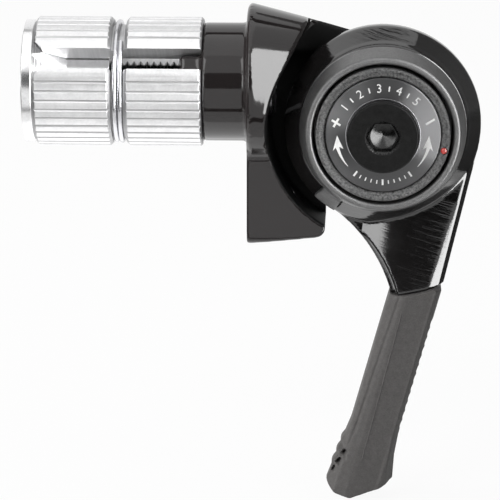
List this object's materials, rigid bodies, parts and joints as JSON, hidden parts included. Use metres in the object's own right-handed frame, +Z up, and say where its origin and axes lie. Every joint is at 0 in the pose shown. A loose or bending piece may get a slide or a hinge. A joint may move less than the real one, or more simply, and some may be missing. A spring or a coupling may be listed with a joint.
{
  "type": "bar-end shift lever",
  "caption": "Bar-end gear shifter: expanding plug, gloss black pod, friction lever with rubber grip and a tension dial.",
  "frame": {"origin": "on the plug's axis, in the plane where the pod's collar seats on the end of the handlebar", "axes": "+X out of the bar end towards the lever's pivot, +Z up, -Y towards the side with the tension dial"},
  "size_m": [0.0684, 0.026, 0.0751],
  "materials": {
    "gloss_black_pod": "deep gloss black over cast aluminium",
    "gloss_black_lever": "gloss black over brushed aluminium",
    "grip_rubber": "matte dark grey moulded rubber",
    "satin_grey": "bead blasted, dark grey anodised",
    "textured_black": "fine spark-eroded texture",
    "brushed_black": "spun black anodised",
    "black_steel": "black oxide",
    "red_enamel": "red enamel",
    "bright_alloy": "bright turned aluminium",
    "grey_alloy": "clear anodised",
    "turned_steel": "turned",
    "spring_wire": "drawn spring wire",
    "bronze": "sintered bronze",
    "white_print": "pad-printed white ink",
    "fibre": "pressed fibre"
  },
  "bodies": {
    "pod": {"pod_body": "gloss_black_pod", "pivot_post": "turned_steel", "stop_pin": "turned_steel", "thrust_washer": "bronze", "friction_plate": "turned_steel", "spring_washer": "turned_steel", "dial_plate": "brushed_black", "pivot_bolt": "black_steel", "expander_washer": "turned_steel", "spring_ring": "spring_wire"},
    "lever": {"lever_arm": "gloss_black_lever", "lever_grip": "grip_rubber", "cable_drum": "grey_alloy", "lever_bushing": "bronze", "friction_washer": "fibre", "cover_ring": "satin_grey"},
    "tension_ring": {"adjuster_ring": "textured_black", "index_dot": "red_enamel"},
    "tension_nut": {"adjuster_nut": "turned_steel"},
    "plug_bolt": {"expander_bolt": "black_steel"},
    "plug_cone": {"expander_cone": "bright_alloy"},
    "top_segment": {"segment_top": "bright_alloy"},
    "front_segment": {"segment_front": "bright_alloy"},
    "rear_segment": {"segment_rear": "bright_alloy"}
  },
  "joints": [
    {"name": "lever_pivot", "type": "hinge", "parent": "pod", "child": "lever", "pos_m": [0.0203, 0, -0.0058], "axis": [0, -1, 0], "range_deg": [0, 115]},
    {"name": "tension_turn", "type": "hinge", "parent": "pod", "child": "tension_ring", "pos_m": [0.0203, 0, -0.0058], "axis": [0, 1, 0], "range_deg": [-30, 180]},
    {"name": "tension_feed", "type": "slide", "parent": "tension_ring", "child": "tension_nut", "axis": [0, 1, 0], "range_m": [-0.000083, 0.0004999], "deforming": ["spring_washer"]},
    {"name": "expander_turn", "type": "hinge", "parent": "pod", "child": "plug_bolt", "pos_m": [0, 0, 0], "axis": [-1, 0, 0], "range_deg": [0, 270]},
    {"name": "cone_draw", "type": "slide", "parent": "pod", "child": "plug_cone", "axis": [1, 0, 0], "range_m": [0, 0.0007499], "deforming": ["spring_ring"]},
    {"name": "spread_top", "type": "slide", "parent": "pod", "child": "top_segment", "axis": [0, 0, 1], "range_m": [0, 0.00083]},
    {"name": "spread_front", "type": "slide", "parent": "pod", "child": "front_segment", "axis": [0, -0.866, -0.5], "range_m": [0, 0.00083]},
    {"name": "spread_rear", "type": "slide", "parent": "pod", "child": "rear_segment", "axis": [0, 0.866, -0.5], "range_m": [0, 0.00083]}
  ],
  "couplings": [
    {"joint": "tension_turn", "follows": "tension_feed", "rad_per_m": 6283.2},
    {"joint": "expander_turn", "follows": "cone_draw", "rad_per_m": 6283.2},
    {"joint": "spread_top", "follows": "cone_draw", "ratio": 1.1},
    {"joint": "spread_front", "follows": "cone_draw", "ratio": 1.1},
    {"joint": "spread_rear", "follows": "cone_draw", "ratio": 1.1}
  ]
}
